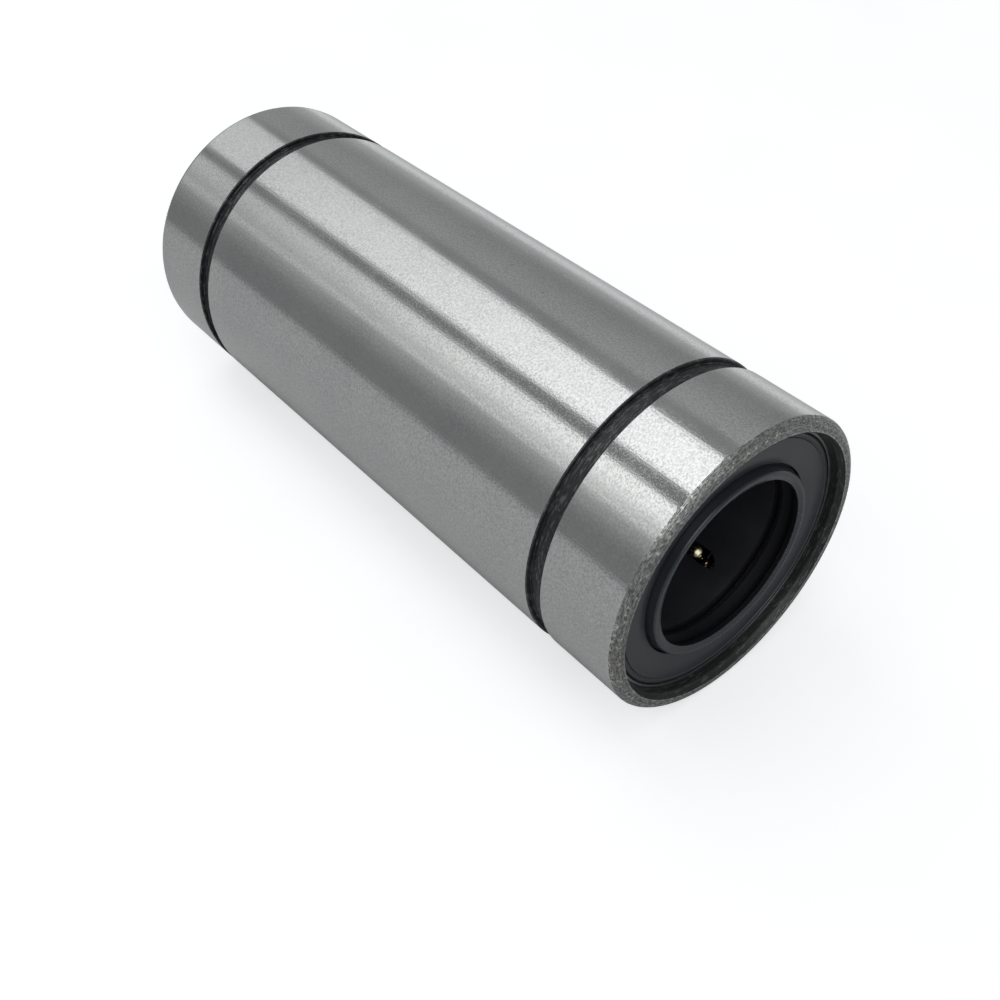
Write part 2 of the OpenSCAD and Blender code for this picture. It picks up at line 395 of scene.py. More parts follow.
feed(turning, deep, group_out.inputs["Lines"])

# %% Group: broken hatch
hatch, group_in, group_out = new_group(
    "broken hatch",
    [
        ("Position", "NodeSocketVector", (0.0, 0.0, 0.0)),
        ("Across", "NodeSocketFloat", 0.0),
        ("Fineness", "NodeSocketFloat", 7.0),
        ("Length", "NodeSocketFloat", 3.0),
    ],
    ["Strokes"],
)
fineness = group_in.outputs["Fineness"]
outwards = hatch.nodes.new("ShaderNodeVectorMath")
outwards.operation = "NORMALIZE"
feed(hatch, stretch(hatch, group_in.outputs["Position"], (0.0, 1.0, 1.0)), outwards.inputs[0])
round_way = hatch.nodes.new("ShaderNodeVectorMath")
round_way.operation = "SCALE"
feed(hatch, outwards.outputs[0], round_way.inputs[0])
stroke_count = sums(hatch, "DIVIDE", fineness, group_in.outputs["Length"])
feed(hatch, sums(hatch, "MULTIPLY", stroke_count, OUTSIDE), round_way.inputs["Scale"])
cross_way = hatch.nodes.new("ShaderNodeCombineXYZ")
feed(hatch, sums(hatch, "MULTIPLY", group_in.outputs["Across"], fineness), cross_way.inputs[0])
spot = hatch.nodes.new("ShaderNodeVectorMath")
feed(hatch, round_way.outputs[0], spot.inputs[0])
feed(hatch, cross_way.outputs[0], spot.inputs[1])
feed(hatch, ramp(hatch, cloud(hatch, spot.outputs[0], 3.0, 0.7), 0.36, 0.64),
     group_out.inputs["Strokes"])

# %% Group: edge wear
wear, group_in, group_out = new_group(
    "edge wear",
    [
        ("Position", "NodeSocketVector", (0.0, 0.0, 0.0)),
        ("Edge", "NodeSocketFloat", 0.0),
        ("Spread", "NodeSocketFloat", 0.5),
    ],
    ["Worn"],
)
chips = cloud(wear, stretch(wear, group_in.outputs["Position"], (2600.0, 2600.0, 2600.0)), 3.0, 0.7)
chips = sums(wear, "MULTIPLY", sums(wear, "SUBTRACT", chips, 0.5), 2.2)
reach = sums(wear, "ADD", group_in.outputs["Edge"], chips)
start = sums(wear, "SUBTRACT", 1.0, group_in.outputs["Spread"])
feed(wear, ramp(wear, reach, start, sums(wear, "ADD", start, 0.35)), group_out.inputs["Worn"])

# %% Group: handling marks
handling, group_in, group_out = new_group(
    "handling marks",
    [
        ("Position", "NodeSocketVector", (0.0, 0.0, 0.0)),
        ("Dots per metre", "NodeSocketFloat", 500.0),
        ("Share", "NodeSocketFloat", 0.1),
        ("Dot size", "NodeSocketFloat", 0.08),
    ],
    ["Dots", "Scratches"],
)
wide = handling.nodes.new("ShaderNodeCombineXYZ")
for axis in range(3):
    feed(handling, group_in.outputs["Dots per metre"], wide.inputs[axis])
cells = handling.nodes.new("ShaderNodeTexVoronoi")
cells.inputs["Scale"].default_value = 1.0
feed(handling, stretch(handling, group_in.outputs["Position"], wide.outputs[0]),
     cells.inputs["Vector"])
chance = handling.nodes.new("ShaderNodeSeparateColor")
feed(handling, cells.outputs["Color"], chance.inputs[0])
chosen = sums(handling, "LESS_THAN", chance.outputs[0], group_in.outputs["Share"])
dot = group_in.outputs["Dot size"]
dot_edge = sums(handling, "MULTIPLY", dot, 0.4)
round_dot = ramp(handling, cells.outputs["Distance"], dot_edge, dot, 1.0, 0.0)
feed(handling, sums(handling, "MULTIPLY", chosen, round_dot), group_out.inputs["Dots"])
streaks = cloud(handling, stretch(handling, group_in.outputs["Position"], (9000.0, 420.0, 420.0)), 1.0)
gaps = cloud(handling, stretch(handling, group_in.outputs["Position"], (300.0, 500.0, 500.0)), 1.0)
thin = ramp(handling, streaks, 0.70, 0.76)
feed(handling, sums(handling, "MULTIPLY", thin, ramp(handling, gaps, 0.55, 0.62)),
     group_out.inputs["Scratches"])
print("groups:", [g.name for g in bpy.data.node_groups])

# %% [markdown]
# ## Turned shapes
#
# The sleeve, the seals, their steel cores and the end rings are all turned: one closed profile
# carried round the X axis. On a real part no edge is perfectly sharp, and the thin bright line on
# a corner is what tells the eye it is metal, so each corner of a profile gets a tiny curve of its
# own. A Bevel modifier could do that, but here the curve is part of the surface's formula, and the
# same step writes how close each point is to an edge, which the wear group reads.

# %% Rounded profile
CORNER_STEPS = 4
SIDE_SHARE = 0.45


def loop_area(points):
    """Twice the signed area of a closed profile, from neighbouring points' cross products."""
    x, r = points[:, 0], points[:, 1]
    return float(np.sum(x * np.roll(r, -1) - np.roll(x, -1) * r))


def rounded_profile(corners, fade=0.22):
    """Points, directions and edge values of a closed profile with small round corners.

    corners has rows x, r, cut in mm. A corner C is cut back to A and B, cut mm along its two
    sides, and joined by the curve (1-t)(1-t) A + 2t(1-t) C + t t B with t from 0 to 1. One more
    point lies fade mm further along each side, or less where the side is short; the edge value is
    0 there. On the curve of an outward corner it is the sine of the corner's bend, and an inward
    corner, which nothing rubs, has 0 everywhere.
    """
    corners = np.asarray(corners, float)
    point = corners[:, :2]
    cut = corners[:, 2:3]
    before = np.roll(point, 1, axis=0) - point
    after = np.roll(point, -1, axis=0) - point
    room_before = np.linalg.norm(before, axis=1, keepdims=True)
    room_after = np.linalg.norm(after, axis=1, keepdims=True)
    before = before / room_before
    after = after / room_after
    t = np.linspace(0.0, 1.0, CORNER_STEPS)[None, :, None]
    a = (point + before * cut)[:, None]
    b = (point + after * cut)[:, None]
    c = point[:, None]
    curve = (1 - t) ** 2 * a + 2 * t * (1 - t) * c + t ** 2 * b
    heading = (1 - t) * (c - a) + t * (b - c)
    first = (point + before * np.minimum(cut + fade, SIDE_SHARE * room_before))[:, None]
    last = (point + after * np.minimum(cut + fade, SIDE_SHARE * room_after))[:, None]
    points = np.concatenate([first, curve, last], axis=1).reshape(-1, 2)
    headings = np.concatenate([c - a, heading, b - c], axis=1).reshape(-1, 2)
    headings = headings / np.linalg.norm(headings, axis=1, keepdims=True)
    bend = after[:, 0] * before[:, 1] - after[:, 1] * before[:, 0]
    sharp = np.clip(bend * np.sign(loop_area(point)), 0.0, 1.0)
    edge = sharp[:, None] * np.r_[0.0, np.ones(CORNER_STEPS), 0.0][None, :]
    return points, headings, edge.reshape(-1)


def ring_zones(zones):
    """The zone of each strip of faces: a corner's first half belongs to the side before it."""
    zones = np.asarray(zones)
    per_corner = CORNER_STEPS + 2
    strip = np.arange(per_corner)[None, :]
    before = np.roll(zones, 1)[:, None]
    return np.where(strip < per_corner // 2 - 1, before, zones[:, None]).reshape(-1)


# %% Carry a profile round the axis
def revolve(points, headings, angles):
    """A surface of two parameters, profile point j and angle a.

    x = x_j, y = r_j cos a, z = r_j sin a. The normal is the profile's heading turned by a
    quarter turn, carried round the same way. The result has shape (angles, points, 3).
    """
    a = np.asarray(angles)[:, None]
    x = points[None, :, 0] + 0.0 * a
    r = points[None, :, 1] + 0.0 * a
    grid = np.stack([x, r * np.cos(a), r * np.sin(a)], axis=-1)
    out_x = -headings[None, :, 1] + 0.0 * a
    out_r = headings[None, :, 0] + 0.0 * a
    normals = np.stack([out_x, out_r * np.cos(a), out_r * np.sin(a)], axis=-1)
    return grid, normals


def closed_grid_faces(rows, columns):
    """Quads of a grid that closes on itself in both directions, in the order that faces outwards."""
    i = np.arange(rows)[:, None]
    j = np.arange(columns)[None, :]
    next_i = (i + 1) % rows
    next_j = (j + 1) % columns
    quads = [i * columns + j, next_i * columns + j, next_i * columns + next_j, i * columns + next_j]
    return np.stack(quads, axis=-1).reshape(-1, 4)


# %% Make a turned piece
def turned_piece(name, grid, normals, zones, edge, finishes, stands_for):
    """Put a closed grid in mm into a mesh in metres, with its zones, normals and edge values."""
    rows, columns = grid.shape[:2]
    mesh = bpy.data.meshes.new(name)
    faces = closed_grid_faces(rows, columns)
    mesh.from_pydata((grid.reshape(-1, 3) * MM).tolist(), [], faces.tolist())
    for finish in finishes:
        mesh.materials.append(finish)
    mesh.polygons.foreach_set("material_index", np.tile(zones, rows).astype(np.int32))
    mesh.polygons.foreach_set("use_smooth", np.ones(len(faces), bool))
    closeness = mesh.attributes.new("edge", "FLOAT", "POINT")
    closeness.data.foreach_set("value", np.tile(edge, rows).astype(np.float32))
    mesh.update()
    mesh.normals_split_custom_set_from_vertices(normals.reshape(-1, 3).tolist())
    piece = bpy.data.objects.new(name, mesh)
    bpy.context.scene.collection.objects.link(piece)
    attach(piece, "sleeve_assembly")
    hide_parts(stands_for)
    print(name, "faces", len(faces), "points", rows * columns)


# %% A blank material with its own coordinates
def blank_finish(name, metallic=0.0):
    """A Principled material, its tree, its shader and its Object coordinates."""
    made = bpy.data.materials.new(name)
    made.use_nodes = True
    tree = made.node_tree
    shader = tree.nodes["Principled BSDF"]
    shader.inputs["Metallic"].default_value = metallic
    place = tree.nodes.new("ShaderNodeTexCoord").outputs["Object"]
    return made, tree, shader, place


def raise_bump(tree, shader, height, depth_um):
    """Feed a height into the normal as relief; a height of 1 is that many thousandths of a mm."""
    bump = tree.nodes.new("ShaderNodeBump")
    bump.inputs["Strength"].default_value = 1.0
    bump.inputs["Distance"].default_value = depth_um * 1e-6
    feed(tree, height, bump.inputs["Height"])
    feed(tree, bump.outputs[0], shader.inputs["Normal"])


def edge_value(tree):
    """The closeness to an edge that each turned piece carries."""
    made = tree.nodes.new("ShaderNodeAttribute")
    made.attribute_name = "edge"
    return made.outputs["Fac"]


# %% [markdown]
# ## Ground steel
#
# The outside of the sleeve is hardened and ground, so it slides into a housing. Close up it is not
# a mirror: the wheel leaves a fine sparkling grain, a little longer round the part than along
# it. The grain is a change of tone over a shallow bump, with rougher pits, so it sparkles most
# where a lamp is mirrored. Grinding also leaves very shallow flats along the part, which bend the
# mirrored lamps a little. A few dots and short scratches from handling break it up.

# %% Ground steel finish
def ground_steel():
    """The sleeve's outside."""
    made, tree, shader, place = blank_finish("ground_steel", 1.0)
    grit = use_group(tree, grain, Position=place, Grains_per_metre=4800.0, Closer_along=1.3)
    marks = use_group(tree, handling, Position=place, Dots_per_metre=400.0, Share=0.30,
                      Dot_size=0.065)
    worn = use_group(tree, wear, Position=place, Edge=edge_value(tree), Spread=0.10)
    size = use_group(tree, measures, Position=place)
    rings = use_group(tree, turning, Position=place, Measure=size["Along"], Lines_per_mm=3.0,
                      Waver=0.25)
    tone = blend_colour(tree, grit["Patches"], (0.468, 0.477, 0.475, 1.0), (0.513, 0.517, 0.511, 1.0))
    tone = blend_colour(tree, sums(tree, "MULTIPLY", grit["Grain"], 0.55), tone,
                        (0.82, 0.825, 0.82, 1.0))
    tone = blend_colour(tree, sums(tree, "MULTIPLY", marks["Dots"], 0.55), tone,
                        (0.16, 0.155, 0.15, 1.0))
    tone = blend_colour(tree, sums(tree, "MULTIPLY", worn["Worn"], 0.6), tone,
                        (0.80, 0.80, 0.79, 1.0))
    feed(tree, tone, shader.inputs["Base Color"])
    pits = ramp(tree, grit["Grain"], 0.20, 0.48, 1.0, 0.0)
    rough = sums(tree, "MULTIPLY_ADD", pits, 0.10, 0.10)
    rough = sums(tree, "MULTIPLY_ADD", grit["Patches"], 0.03, rough)
    rough = sums(tree, "MULTIPLY_ADD", marks["Scratches"], 0.12, rough)
    feed(tree, rough, shader.inputs["Roughness"])
    flats = cloud(tree, stretch(tree, place, (25.0, 900.0, 900.0)), 3.0, 0.7)
    relief = sums(tree, "MULTIPLY_ADD", rings["Lines"], 0.25, grit["Grain"])
    relief = sums(tree, "MULTIPLY_ADD", ramp(tree, flats, 0.36, 0.64), 1.2, relief)
    relief = sums(tree, "SUBTRACT", relief, sums(tree, "MULTIPLY", marks["Scratches"], 0.9))
    relief = sums(tree, "SUBTRACT", relief, sums(tree, "MULTIPLY", marks["Dots"], 2.0))
    raise_bump(tree, shader, relief, 1.4)
    return made


# %% [markdown]
# ## Dark grooves, turned rim and recess
#
# The snap-ring grooves and the recess are turned before hardening and left black from the heat.
# The end rim is turned too, then rubbed bare in places, so its rings show as uneven dark
# and light lines, and its outer edge is worn to bright chips. The three share the turning and
# hatch groups. The recess reads the distance along the axis and the rim reads the radius; the
# grooves read both added together, so that their walls and their floor all have rings.

# %% Groove finish
def groove_black():
    """The snap-ring grooves: black heat scale with tool rings and lighter strokes."""
    made, tree, shader, place = blank_finish("groove_black", 0.55)
    size = use_group(tree, measures, Position=place)
    reading = sums(tree, "ADD", size["Along"], size["Radius"])
    rings = use_group(tree, turning, Position=place, Measure=reading, Lines_per_mm=4.5, Waver=0.25)
    marks = use_group(tree, handling, Position=place, Dots_per_metre=1400.0, Share=0.20,
                      Dot_size=0.16)
    worn = use_group(tree, wear, Position=place, Edge=edge_value(tree), Spread=0.05)
    strokes = use_group(tree, hatch, Position=place, Across=reading, Fineness=6.0,
                        Length=5.0)["Strokes"]
    scale = sums(tree, "MULTIPLY", sums(tree, "ADD", rings["Lines"], strokes), 0.5)
    tone = blend_colour(tree, scale, (0.012, 0.013, 0.014, 1.0), (0.074, 0.077, 0.082, 1.0))
    light = sums(tree, "MAXIMUM", marks["Scratches"], sums(tree, "MULTIPLY", marks["Dots"], 0.6))
    light = sums(tree, "MAXIMUM", light, ramp(tree, strokes, 0.80, 1.0, 0.0, 0.45))
    tone = blend_colour(tree, sums(tree, "MULTIPLY", light, 0.8), tone, (0.26, 0.26, 0.25, 1.0))
    tone = blend_colour(tree, worn["Worn"], tone, (0.40, 0.40, 0.39, 1.0))
    feed(tree, tone, shader.inputs["Base Color"])
    feed(tree, sums(tree, "MULTIPLY_ADD", rings["Lines"], -0.14, 0.52), shader.inputs["Roughness"])
    raise_bump(tree, shader, rings["Lines"], 12.0)
    return made


# %% Rim finish
def turned_rim():
    """The end rim: uneven rings of bare and browned steel, chipped bright at the outer edge."""
    made, tree, shader, place = blank_finish("turned_rim", 1.0)
    size = use_group(tree, measures, Position=place)
    reading = sums(tree, "SUBTRACT", size["Radius"], sums(tree, "ABSOLUTE", size["Along"]))
    rings = use_group(tree, turning, Position=place, Measure=reading, Lines_per_mm=6.0, Waver=0.35)
    grit = use_group(tree, grain, Position=place, Grains_per_metre=5200.0, Closer_along=1.0)
    worn = use_group(tree, wear, Position=place, Edge=edge_value(tree), Spread=0.22)
    strokes = use_group(tree, hatch, Position=place, Across=reading, Fineness=6.0,
                        Length=2.4)["Strokes"]
    bare = sums(tree, "MULTIPLY_ADD", strokes, 0.62, sums(tree, "MULTIPLY", rings["Lines"], 0.38))
    tone = blend_colour(tree, bare, (0.045, 0.048, 0.047, 1.0), (0.60, 0.61, 0.595, 1.0))
    tone = blend_colour(tree, sums(tree, "MULTIPLY", grit["Patches"], 0.30), tone,
                        (0.19, 0.17, 0.13, 1.0))
    tone = blend_colour(tree, sums(tree, "MULTIPLY", grit["Grain"], 0.45), tone,
                        (0.09, 0.095, 0.095, 1.0))
    tone = blend_colour(tree, worn["Worn"], tone, (0.72, 0.72, 0.70, 1.0))
    feed(tree, tone, shader.inputs["Base Color"])
    rough = sums(tree, "MULTIPLY_ADD", rings["Lines"], -0.12, 0.50)
    feed(tree, sums(tree, "MULTIPLY_ADD", worn["Worn"], -0.12, rough), shader.inputs["Roughness"])
    relief = sums(tree, "MULTIPLY_ADD", strokes, 0.9, rings["Lines"])
    raise_bump(tree, shader, relief, 14.0)
    return made


# %% Recess finish
def recess_black():
    """The recess wall and the hidden bore: black scale, rubbed through in fine rings."""
    made, tree, shader, place = blank_finish("recess_black", 0.3)
    size = use_group(tree, measures, Position=place)
    rings = use_group(tree, turning, Position=place, Measure=size["Along"], Lines_per_mm=4.5,
                      Waver=0.25)
    marks = use_group(tree, handling, Position=place, Dots_per_metre=1600.0, Share=0.25,
                      Dot_size=0.14)
    strokes = use_group(tree, hatch, Position=place, Across=size["Along"], Fineness=7.0,
                        Length=9.0)["Strokes"]
    tone = blend_colour(tree, rings["Lines"], (0.007, 0.008, 0.008, 1.0), (0.036, 0.037, 0.037, 1.0))
    light = sums(tree, "MAXIMUM", marks["Scratches"], marks["Dots"])
    light = sums(tree, "MAXIMUM", light, ramp(tree, strokes, 0.80, 1.0, 0.0, 0.6))
    tone = blend_colour(tree, sums(tree, "MULTIPLY", light, 0.5), tone, (0.24, 0.24, 0.23, 1.0))
    feed(tree, tone, shader.inputs["Base Color"])
    feed(tree, sums(tree, "MULTIPLY_ADD", rings["Lines"], -0.10, 0.46), shader.inputs["Roughness"])
    raise_bump(tree, shader, rings["Lines"], 7.0)
    return made


# %% [markdown]
# ## The sleeve
#
# The sleeve is one turned piece. Its profile is written as distances in from the end and down from
# the outside, so it keeps the CAD sizes. Inside, five shallow grooves run along the ball lands
# and let the balls roll back unloaded. They are part of the same surface: at each angle the bore
# is whichever is further out, the turned profile or the wall of the groove. Angles are spaced so
# that a column of points falls exactly on each groove's two edges.

# %% Sleeve profile
GROUND, GROOVE, RIM, INSIDE = 0, 1, 2, 3
# The snap-ring groove: its two walls, its depth and the broken edge of each wall
NEAR_WALL, FAR_WALL, SNAP_DEPTH, BREAK = 8.5, 10.1, 0.5, 0.1
# The end: its chamfer, then the recess with a wider mouth, up to the shoulder behind the end ring
CHAMFER, RECESS, FLARE, MOUTH, SHOULDER = 0.5, 1.5, 0.3, 0.6, 3.6
# The bore: a relief over the balls' turns, and a race that ramps up between two places
RELIEF_DEPTH, RACE_DEPTH = 2.678, 3.599
LAND_START, LAND_END, LAND_RAMP = 7.543, 31.057, 0.3
# Each row is: in from the end, down from the outside, size of the corner's curve, zone
END_CORNERS = [
    (FAR_WALL + BREAK, 0.0, 0.03, GROOVE),
    (FAR_WALL, BREAK, 0.03, GROOVE),
    (FAR_WALL, SNAP_DEPTH, 0.06, GROOVE),
    (NEAR_WALL, SNAP_DEPTH, 0.06, GROOVE),
    (NEAR_WALL, BREAK, 0.03, GROOVE),
    (NEAR_WALL - BREAK, 0.0, 0.03, GROUND),
    (CHAMFER, 0.0, 0.28, RIM),
    (0.0, CHAMFER, 0.28, RIM),
    (0.0, RECESS - FLARE, 0.06, INSIDE),
    (MOUTH, RECESS, 0.08, INSIDE),
    (SHOULDER, RECESS, 0.05, INSIDE),
    (SHOULDER, RELIEF_DEPTH, 0.08, INSIDE),
    (LAND_START, RELIEF_DEPTH, 0.08, INSIDE),
    (LAND_START, RACE_DEPTH - LAND_RAMP, 0.08, INSIDE),
    (LAND_START + LAND_RAMP, RACE_DEPTH, 0.08, INSIDE),
    (LAND_END - LAND_RAMP, RACE_DEPTH, 0.08, INSIDE),
    (LAND_END, RACE_DEPTH - LAND_RAMP, 0.08, INSIDE),
    (LAND_END, RELIEF_DEPTH, 0.08, INSIDE),
]
near_half = [(HALF - inset, OUTSIDE - down, cut) for inset, down, cut, zone in END_CORNERS]
far_half = [(-x, r, cut) for x, r, cut in reversed(near_half)]
near_zones = [zone for inset, down, cut, zone in END_CORNERS]
far_zones = near_zones[-2::-1] + [GROUND]
sleeve_points, sleeve_headings, sleeve_edge = rounded_profile(near_half + far_half)
sleeve_zones = ring_zones(near_zones + far_zones)
print("sleeve profile points", len(sleeve_points), "area sign", loop_area(sleeve_points) < 0)

# %% Ball return grooves in the bore
CIRCUITS = 5
ball_r = (ball_high[1] - ball_low[1]) / 2 / MM
# A groove's wall clears the ball by this, and its middle lies at this place beside the axis
GROOVE_ROOM = 0.08
GROOVE_R = ball_r + GROOVE_ROOM
GROOVE_Y, GROOVE_Z = 3.80706, 9.18258
# The grooves stop this far in from the ends, and only points deeper than the skin may move
GROOVE_END, OUTER_SKIN = 7.2, 2.0
groove_out = math.hypot(GROOVE_Y, GROOVE_Z)
groove_at = math.atan2(GROOVE_Z, GROOVE_Y)
land_r = OUTSIDE - RACE_DEPTH
half_width = math.acos((land_r ** 2 + groove_out ** 2 - GROOVE_R ** 2) / (2 * land_r * groove_out))
inside_groove = np.linspace(-half_width, half_width, 15)[:-1]
outside_groove = np.linspace(half_width, 2 * math.pi / CIRCUITS - half_width, 47)[:-1]
one_circuit = np.concatenate([inside_groove, outside_groove]) + groove_at
turns = np.arange(CIRCUITS)[:, None] * (2 * math.pi / CIRCUITS)
sleeve_angles = (one_circuit[None, :] + turns).reshape(-1)
print("ball radius", round(ball_r, 4), "groove half width", round(math.degrees(half_width), 3), "deg")


def cut_return_grooves(grid, normals, angles):
    """Move bore points out to the groove's wall wherever it lies outside the turned profile.

    With D the angle from the nearest groove's middle and d its distance from the axis, the wall
    is at r = d cos D + sqrt(R R - d d sin D sin D); its normal points to the groove's middle.
    """
    pitch = 2 * math.pi / CIRCUITS
    from_middle = (angles - groove_at + pitch / 2) % pitch - pitch / 2
    inner = np.clip(GROOVE_R ** 2 - (groove_out * np.sin(from_middle)) ** 2, 0.0, None)
    wall = groove_out * np.cos(from_middle) + np.sqrt(inner)
    wall = np.where(np.abs(from_middle) <= half_width + 1e-9, wall, 0.0)[:, None]
    r = np.hypot(grid[..., 1], grid[..., 2])
    in_bore = (np.abs(grid[..., 0]) < HALF - GROOVE_END) & (r < OUTSIDE - OUTER_SKIN)
    cut = (wall > r + 1e-6) & in_bore
    a = angles[:, None] + 0.0 * r
    new_r = np.where(cut, wall, r)
    moved = np.stack([grid[..., 0], new_r * np.cos(a), new_r * np.sin(a)], axis=-1)
    middle = a - from_middle[:, None]
    to_y = groove_out * np.cos(middle) - moved[..., 1]
    to_z = groove_out * np.sin(middle) - moved[..., 2]
    facing = np.stack([0.0 * to_y, to_y, to_z], axis=-1)
    facing = facing / np.maximum(np.linalg.norm(facing, axis=-1, keepdims=True), 1e-9)
    return moved, np.where(cut[..., None], facing, normals)


# %% Sleeve piece
sleeve_grid, sleeve_normals = revolve(sleeve_points, sleeve_headings, sleeve_angles)
sleeve_grid, sleeve_normals = cut_return_grooves(sleeve_grid, sleeve_normals, sleeve_angles)
turned_piece("sleeve_shell", sleeve_grid, sleeve_normals, sleeve_zones, sleeve_edge,
             [ground_steel(), groove_black(), turned_rim(), recess_black()],
             "outer_sleeve")

# %% [markdown]
# ## Seals
#
# A seal keeps dirt out and grease in. It is rubber moulded onto a thin pressed steel core, whose
# edge shows as a fine ring. The rubber has a flat face, a shallow ring near its rim, a narrow moat
# and then a raised lip that wipes the shaft, so its shape is all in the profile. Moulded rubber is
# a soft blue-black with a satin skin: colour and roughness change a little in patches, and fine
# dust sits on it. One finish is made in three tones: the flat face, a near-black tone that is
# painted shade on the sides that look inwards and in the moat, and the smoother lip.

# %% Rubber finish
def moulded_rubber(name, dark, pale, rough, gloss):
    """Moulded rubber: satin, blue-black, faintly mottled, with a little dust."""
    made, tree, shader, place = blank_finish(name, 0.0)
    skin = use_group(tree, grain, Position=place, Grains_per_metre=7000.0, Closer_along=1.0)
    dust = use_group(tree, handling, Position=place, Dots_per_metre=1500.0, Share=0.06, Dot_size=0.12)
    corner_highlight = use_group(tree, wear, Position=place, Edge=edge_value(tree), Spread=0.10)
    tone = blend_colour(tree, skin["Patches"], dark, pale)
    tone = blend_colour(tree, sums(tree, "MULTIPLY", dust["Dots"], 0.35), tone,
                        (0.20, 0.21, 0.22, 1.0))
    # Painted highlight: the rubber turns lighter along its outward corners, drawn with the edge wear
    # group.
    tone = blend_colour(tree, sums(tree, "MULTIPLY", corner_highlight["Worn"], 0.25), tone,
                        (0.10, 0.105, 0.115, 1.0))
    feed(tree, tone, shader.inputs["Base Color"])
    soft = sums(tree, "MULTIPLY_ADD", skin["Patches"], 0.08, rough)
    feed(tree, sums(tree, "MULTIPLY_ADD", skin["Grain"], 0.06, soft), shader.inputs["Roughness"])
    shader.inputs["IOR"].default_value = gloss
    raise_bump(tree, shader, skin["Grain"], 2.5)
    return made


# %% Seal pieces
def make_round(name, corners, finishes, stands_for, rear=False, count=300):
    """A plain turned piece; rear turns it half a turn about Z, so x and y change sign."""
    points, headings, edge = rounded_profile([corner[:3] for corner in corners])
    zones = ring_zones([corner[3] if len(corner) > 3 else 0 for corner in corners])
    if loop_area(points) > 0:
        points, headings, edge = points[::-1], -headings[::-1], edge[::-1]
        zones = np.roll(zones[::-1], -1)
    angles = np.arange(count) * (2 * math.pi / count)
    grid, normals = revolve(points, headings, angles)
    if rear:
        grid = grid * (-1.0, -1.0, 1.0)
        normals = normals * (-1.0, -1.0, 1.0)
    turned_piece(name, grid, normals, zones, edge, finishes, stands_for)


# Radii of the lip on the shaft, the back lip, the grease groove and the core's hole
BORE, BACK_LIP, GREASE_WELL, CORE_BORE = 8.0, 8.1, 8.6, 9.6
SHEET = 0.45
# The second zone is a near-black tone of painted shade, for the surfaces facing into the bore and the
# moat.
FACE_RUBBER, PAINTED_SHADE, LIP = 0, 1, 2
# Each row is: place along the axis, radius, size of the corner's curve, zone
SEAL_CORNERS = [
    (SEAL_BACK, CORE_BORE, 0.05, PAINTED_SHADE),
    (SEAL_BACK + SHEET, CORE_BORE, 0.03, PAINTED_SHADE),
    (SEAL_BACK + SHEET, RUBBER, 0.03, FACE_RUBBER),
    (SEAL_FACE - 0.20, RUBBER, 0.05, FACE_RUBBER),
    (SEAL_FACE, RUBBER - 0.20, 0.05, FACE_RUBBER),
    (SEAL_FACE, 11.80, 0.03, FACE_RUBBER),
    (SEAL_FACE - 0.09, 11.74, 0.03, FACE_RUBBER),
    (SEAL_FACE - 0.09, 11.64, 0.03, FACE_RUBBER),
    (SEAL_FACE, 11.58, 0.03, FACE_RUBBER),
    (SEAL_FACE, 10.50, 0.25, FACE_RUBBER),
    (SEAL_FACE - 0.07, 9.95, 0.25, FACE_RUBBER),
    # The moat's two sides take the near-black tone: painted shade in the crease.
    (SEAL_FACE - 0.24, 9.20, 0.04, PAINTED_SHADE),
    (SEAL_FACE - 0.50, 9.14, 0.04, PAINTED_SHADE),
    (SEAL_FACE - 0.50, 9.00, 0.04, FACE_RUBBER),
    (SEAL_TIP - 0.12, 8.88, 0.05, LIP),
    (SEAL_TIP, 8.76, 0.05, LIP),
    (SEAL_TIP, 8.46, 0.06, LIP),
    (SEAL_TIP - 0.167, BORE, 0.05, PAINTED_SHADE),
    (SEAL_TIP - 0.617, BORE, 0.05, PAINTED_SHADE),
    (SEAL_BACK + 1.27, GREASE_WELL, 0.08, PAINTED_SHADE),
    (SEAL_BACK + 0.85, GREASE_WELL, 0.08, PAINTED_SHADE),
    (SEAL_BACK + 0.35, BACK_LIP, 0.08, PAINTED_SHADE),
    (SEAL_BACK, BACK_LIP, 0.05, PAINTED_SHADE),
]
rubbers = [
    moulded_rubber("seal_rubber", (0.020, 0.024, 0.030, 1.0), (0.028, 0.032, 0.039, 1.0), 0.33,
                   1.60),
    # Painted shade: near-black rubber for the surfaces inside the bore and in the moat.
    moulded_rubber("shade_painted_rubber", (0.004, 0.0045, 0.006, 1.0), (0.007, 0.0075, 0.009, 1.0), 0.50,
                   1.25),
    moulded_rubber("lip_rubber", (0.022, 0.026, 0.032, 1.0), (0.030, 0.034, 0.041, 1.0), 0.16,
                   1.50),
]
make_round("front_seal", SEAL_CORNERS, rubbers, "seal_front")
make_round("rear_seal", SEAL_CORNERS, rubbers, "seal_rear", rear=True)

# %% [markdown]
# ## Steel cores and end rings
#
# The core is stamped sheet: a flat ring with a rim turned up round the rubber. Only the rim's edge
# shows, as a thin pale circle inside the recess. The end ring behind it is stamped too, and stops
# the cage. Its tones are far darker than the core's, as painted shade for its place inside the bore.
# Both share one finish with two tones, with the rubbed rings that pressing leaves.

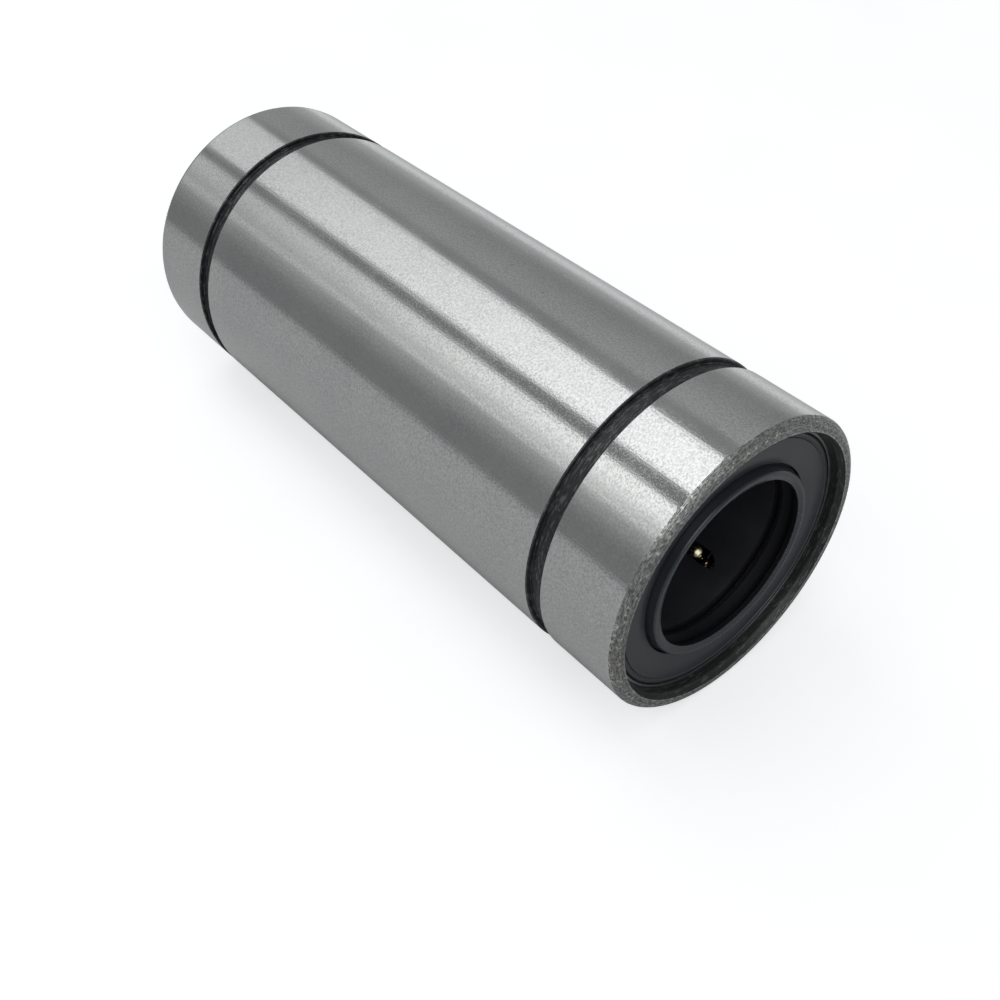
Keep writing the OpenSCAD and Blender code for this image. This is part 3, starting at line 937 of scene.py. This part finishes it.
# %% Stamped steel finish
def stamped_steel(name, dark, pale, rough):
    """Pressed sheet steel, dull between its rubbed rings."""
    made, tree, shader, place = blank_finish(name, 1.0)
    size = use_group(tree, measures, Position=place)
    rings = use_group(tree, turning, Position=place, Measure=size["Radius"], Lines_per_mm=6.0,
                      Waver=0.2)
    grit = use_group(tree, grain, Position=place, Grains_per_metre=5000.0, Closer_along=1.0)
    worn = use_group(tree, wear, Position=place, Edge=edge_value(tree), Spread=-0.25)
    tone = blend_colour(tree, rings["Lines"], dark, pale)
    tone = blend_colour(tree, sums(tree, "MULTIPLY", grit["Grain"], 0.3), tone, dark)
    tone = blend_colour(tree, worn["Worn"], tone, (0.62, 0.62, 0.61, 1.0))
    feed(tree, tone, shader.inputs["Base Color"])
    feed(tree, sums(tree, "MULTIPLY_ADD", grit["Grain"], 0.10, rough), shader.inputs["Roughness"])
    raise_bump(tree, shader, rings["Lines"], 5.0)
    return made


# %% Core and end ring pieces
RING_BORE = 9.2
CORE_CORNERS = [
    (SEAL_BACK, CORE_BORE, 0.04),
    (SEAL_BACK, CORE, 0.12),
    (SEAL_FACE, CORE, 0.05),
    (SEAL_FACE, RUBBER, 0.03),
    (SEAL_BACK + SHEET, RUBBER, 0.10),
    (SEAL_BACK + SHEET, CORE_BORE, 0.04),
]
RING_CORNERS = [
    (RING_BACK, RING_BORE, 0.05),
    (RING_BACK, RING, 0.08),
    (SEAL_BACK, RING, 0.08),
    (SEAL_BACK, RING_BORE, 0.05),
]
core_finish = stamped_steel("core_steel", (0.22, 0.225, 0.23, 1.0), (0.48, 0.485, 0.49, 1.0), 0.32)
# Painted shade: the end ring's tones are far darker than the core's, for its place inside the bore.
ring_shade_finish = stamped_steel("ring_steel", (0.05, 0.052, 0.055, 1.0), (0.13, 0.132, 0.135, 1.0), 0.42)
make_round("front_seal_core", CORE_CORNERS, [core_finish], "seal_core_front")
make_round("rear_seal_core", CORE_CORNERS, [core_finish], "seal_core_rear", rear=True)
make_round("front_end_ring", RING_CORNERS, [ring_shade_finish], "end_ring_front")
make_round("rear_end_ring", RING_CORNERS, [ring_shade_finish], "end_ring_rear", rear=True)

# %% [markdown]
# ## Cages and balls
#
# The cages are moulded resin, nearly black and slightly shiny, with the faint flow marks of a
# mould. The balls are polished bearing steel with a film of grease, which turns their highlight a
# little yellow. The CAD shapes of both are right as they are, so they stay, and get these finishes.
# Each short row of balls is a CAD node of its own.

# %% Cage finish
def cage_resin():
    """Moulded black resin."""
    made, tree, shader, place = blank_finish("cage_resin", 0.0)
    skin = use_group(tree, grain, Position=place, Grains_per_metre=3000.0, Closer_along=0.4)
    marks = use_group(tree, handling, Position=place, Dots_per_metre=700.0, Share=0.05)
    tone = blend_colour(tree, skin["Patches"], (0.021, 0.022, 0.026, 1.0), (0.033, 0.034, 0.040, 1.0))
    tone = blend_colour(tree, sums(tree, "MULTIPLY", marks["Dots"], 0.3), tone,
                        (0.09, 0.09, 0.09, 1.0))
    feed(tree, tone, shader.inputs["Base Color"])
    rough = sums(tree, "MULTIPLY_ADD", skin["Patches"], 0.10, 0.30)
    feed(tree, sums(tree, "MULTIPLY_ADD", skin["Grain"], 0.05, rough), shader.inputs["Roughness"])
    raise_bump(tree, shader, skin["Grain"], 3.0)
    return made


# %% Ball finish
def ball_steel():
    """Polished ball steel under a thin, slightly yellow film of grease."""
    made, tree, shader, place = blank_finish("ball_steel", 1.0)
    film = use_group(tree, grain, Position=place, Grains_per_metre=1200.0, Closer_along=1.0)
    tone = blend_colour(tree, film["Grain"], (0.56, 0.52, 0.42, 1.0), (0.50, 0.42, 0.27, 1.0))
    feed(tree, tone, shader.inputs["Base Color"])
    feed(tree, sums(tree, "MULTIPLY_ADD", film["Grain"], 0.10, 0.10), shader.inputs["Roughness"])
    return made


# %% Dress the CAD nodes that stay
cage_finish = cage_resin()
ball_finish = ball_steel()
ball_nodes = [n for n in nodes if n.startswith(("front_", "rear_"))]
for name in ball_nodes:
    nodes[name].material_slots[0].material = ball_finish
for name in ("cage_front", "cage_rear"):
    nodes[name].material_slots[0].material = cage_finish
print("ball groups", len(ball_nodes), "and 2 cages keep their CAD shapes")
